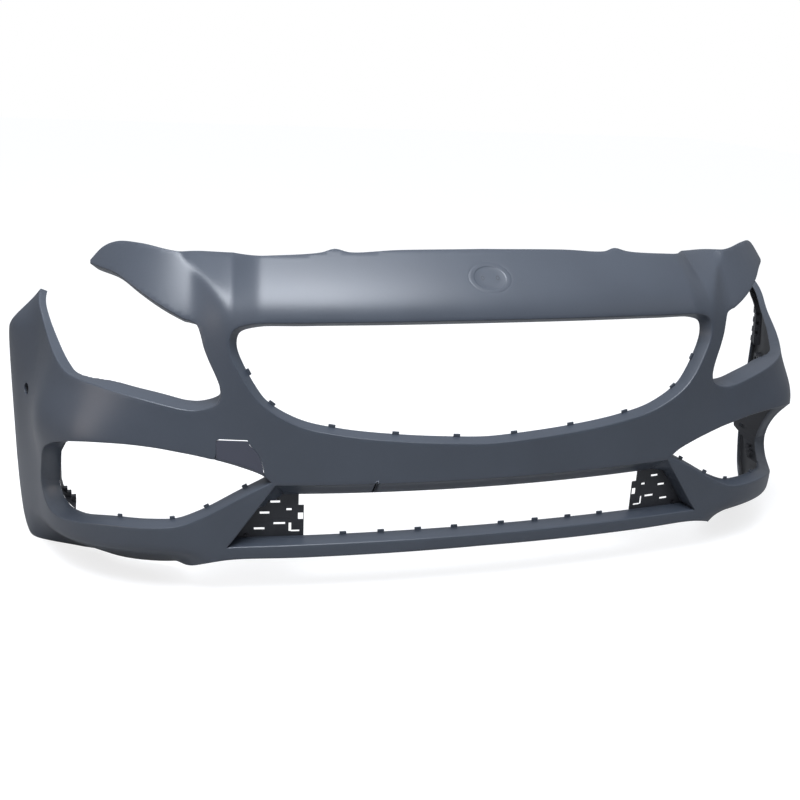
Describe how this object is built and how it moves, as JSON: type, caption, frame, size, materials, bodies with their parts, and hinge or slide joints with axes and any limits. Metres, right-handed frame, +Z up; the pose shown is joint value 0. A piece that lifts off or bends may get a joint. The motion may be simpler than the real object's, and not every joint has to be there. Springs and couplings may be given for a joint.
{
  "type": "front bumper cover",
  "caption": "Moulded front bumper cover with grille, headlamp, side and lower intake openings, a hinged tow-eye flap, slotted side plates, flank rails and air guides.",
  "frame": {"origin": "middle of the footprint at the level of the lowest point", "axes": "+X sideways across the car, -Y towards the road ahead, +Z up"},
  "size_m": [1.7472, 0.4586, 0.6403],
  "materials": {
    "primed_skin": "satin primed, dark blue-grey",
    "flap": "satin primed, slightly darker",
    "black_plastic": "grained black plastic",
    "rivet": "smooth black plastic"
  },
  "bodies": {
    "cover": {"bumper_skin": "primed_skin", "side_plate_right": "black_plastic", "side_plate_left": "black_plastic", "plate_rivet_1_right": "rivet", "plate_rivet_1_left": "rivet", "plate_rivet_2_right": "rivet", "plate_rivet_2_left": "rivet", "flank_rail_right": "black_plastic", "flank_rail_left": "black_plastic", "sensor_seat_right": "black_plastic", "sensor_seat_left": "black_plastic", "air_guide_right": "black_plastic", "air_guide_left": "black_plastic"},
    "tow_flap": {"tow_eye_cover": "flap"}
  },
  "joints": [
    {"name": "tow_flap_hinge", "type": "hinge", "parent": "cover", "child": "tow_flap", "pos_m": [-0.47525, -0.1837, 0.30763], "axis": [-0.966, 0.2587, -0.0031], "range_deg": [0, 75]}
  ]
}
